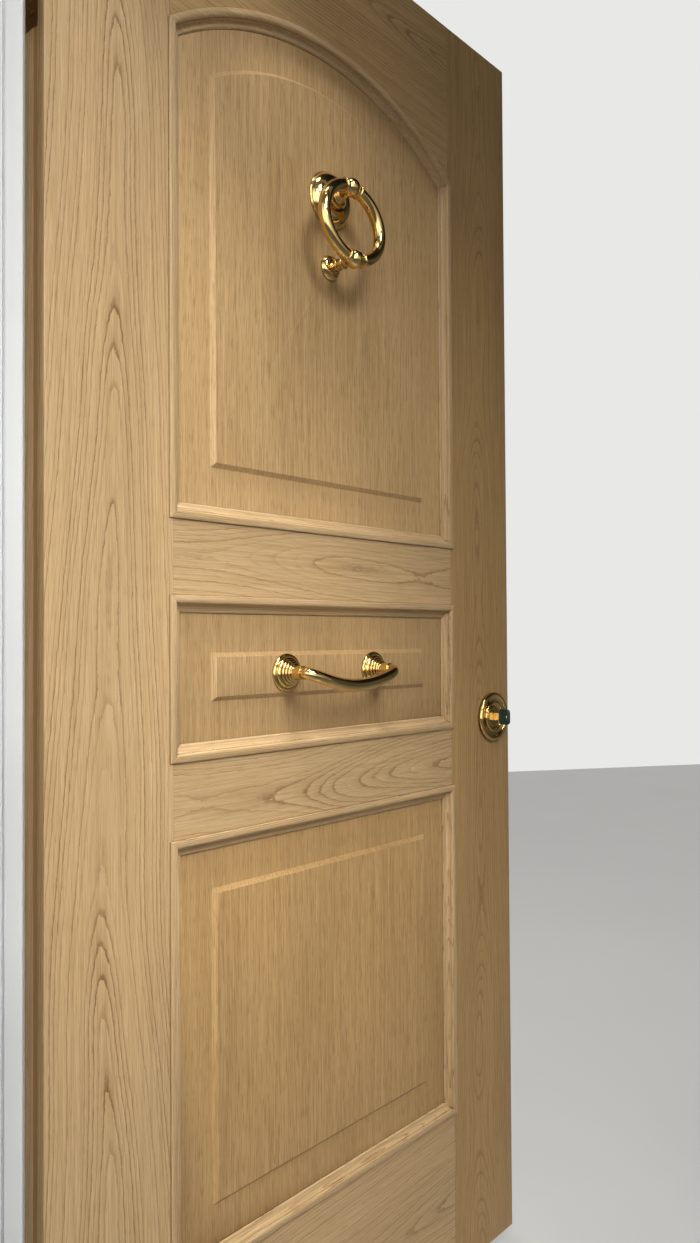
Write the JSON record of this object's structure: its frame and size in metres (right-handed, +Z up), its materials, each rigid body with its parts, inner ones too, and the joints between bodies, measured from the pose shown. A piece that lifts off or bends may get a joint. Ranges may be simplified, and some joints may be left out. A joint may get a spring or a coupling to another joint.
{
  "type": "front door with frame",
  "caption": "Panelled oak front door with an arched upper panel, ring knocker, bow pull and rim latch, ajar in its painted frame",
  "frame": {"origin": "middle of the threshold's underside, half way across the frame and through its depth", "axes": "+X across the doorway from the hinge side to the lock side, +Y from outdoors to indoors, +Z up"},
  "size_m": [1.016, 0.6432, 2.164],
  "materials": {
    "oak": "clear satin oil over planed oak",
    "painted_timber": "satin white paint",
    "brass": "polished",
    "brown_strip": "matt",
    "seal_rubber": "matt",
    "key_plastic": "moulded",
    "latch_enamel": "satin enamel",
    "plain_steel": "plain"
  },
  "bodies": {
    "frame": {"frame_head": "painted_timber", "frame_seals": "seal_rubber", "hinge_frame_flap_1": "brass", "hinge_frame_flap_2": "brass", "hinge_frame_flap_3": "brass", "hinge_jamb": "painted_timber", "hinge_pins": "brass", "hinge_screws_frame": "brass", "latch_keep": "latch_enamel", "lock_jamb": "painted_timber", "threshold": "painted_timber"},
    "leaf": {"bottom_rail": "oak", "cylinder_pull": "brass", "edge_strips": "brown_strip", "foot_seal": "seal_rubber", "handle_bar": "brass", "handle_rose_left": "brass", "handle_rose_right": "brass", "hinge_leaf_flap_1": "brass", "hinge_leaf_flap_2": "brass", "hinge_leaf_flap_3": "brass", "hinge_screws_leaf": "brass", "hinge_stile": "oak", "knocker_rose": "brass", "knocker_striker": "brass", "latch_case": "latch_enamel", "latch_plate": "latch_enamel", "lock_stile": "oak", "lower_mid_rail": "oak", "lower_moulding_bottom": "oak", "lower_moulding_left": "oak", "lower_moulding_right": "oak", "lower_moulding_top": "oak", "lower_mouldings_indoor": "oak", "lower_panel": "oak", "middle_moulding_bottom": "oak", "middle_moulding_left": "oak", "middle_moulding_right": "oak", "middle_moulding_top": "oak", "middle_mouldings_indoor": "oak", "middle_panel": "oak", "rim_cylinder": "brass", "through_bolts": "brass", "top_rail": "oak", "upper_mid_rail": "oak", "upper_moulding_bottom": "oak", "upper_moulding_left": "oak", "upper_moulding_right": "oak", "upper_moulding_top": "oak", "upper_mouldings_indoor": "oak", "upper_panel": "oak"},
    "ring": {"knocker_ring": "brass", "knocker_pin": "brass"},
    "plug": {"cylinder_plug": "brass", "connecting_bar": "plain_steel"},
    "key": {"key_blade": "brass", "key_bow": "key_plastic"},
    "bolt": {"latch_bolt": "brass"},
    "knob": {"latch_knob": "brass"},
    "snib": {"latch_snib": "brass"}
  },
  "joints": [
    {"name": "leaf_swing", "type": "hinge", "parent": "frame", "child": "leaf", "pos_m": [-0.4645, 0.0402, 1.069], "axis": [0, 0, 1], "range_deg": [-35, 75]},
    {"name": "ring_swing", "type": "hinge", "parent": "leaf", "child": "ring", "pos_m": [-0.03284, 0.23356, 1.727], "axis": [-0.8192, -0.5736, 0], "range_deg": [0, 75]},
    {"name": "latch_slide", "type": "slide", "parent": "leaf", "child": "bolt", "axis": [0.8192, 0.5736, 0], "range_m": [0, 0.0135]},
    {"name": "knob_turn", "type": "hinge", "parent": "leaf", "child": "knob", "pos_m": [0.27409, 0.50829, 0.9365], "axis": [0.5736, -0.8192, 0], "range_deg": [0, 70.01]},
    {"name": "plug_turn", "type": "hinge", "parent": "leaf", "child": "plug", "pos_m": [0.27409, 0.50829, 0.9365], "axis": [0.5736, -0.8192, 0], "range_deg": [0, 70.01]},
    {"name": "key_withdraw", "type": "slide", "parent": "plug", "child": "key", "axis": [0.5736, -0.8192, 0], "range_m": [0, 0.03]},
    {"name": "snib_slide", "type": "slide", "parent": "leaf", "child": "snib", "axis": [0.8192, 0.5736, 0], "range_m": [0, 0.008]}
  ],
  "couplings": [
    {"joint": "knob_turn", "follows": "latch_slide", "rad_per_m": 90.499},
    {"joint": "plug_turn", "follows": "latch_slide", "rad_per_m": 90.499}
  ]
}
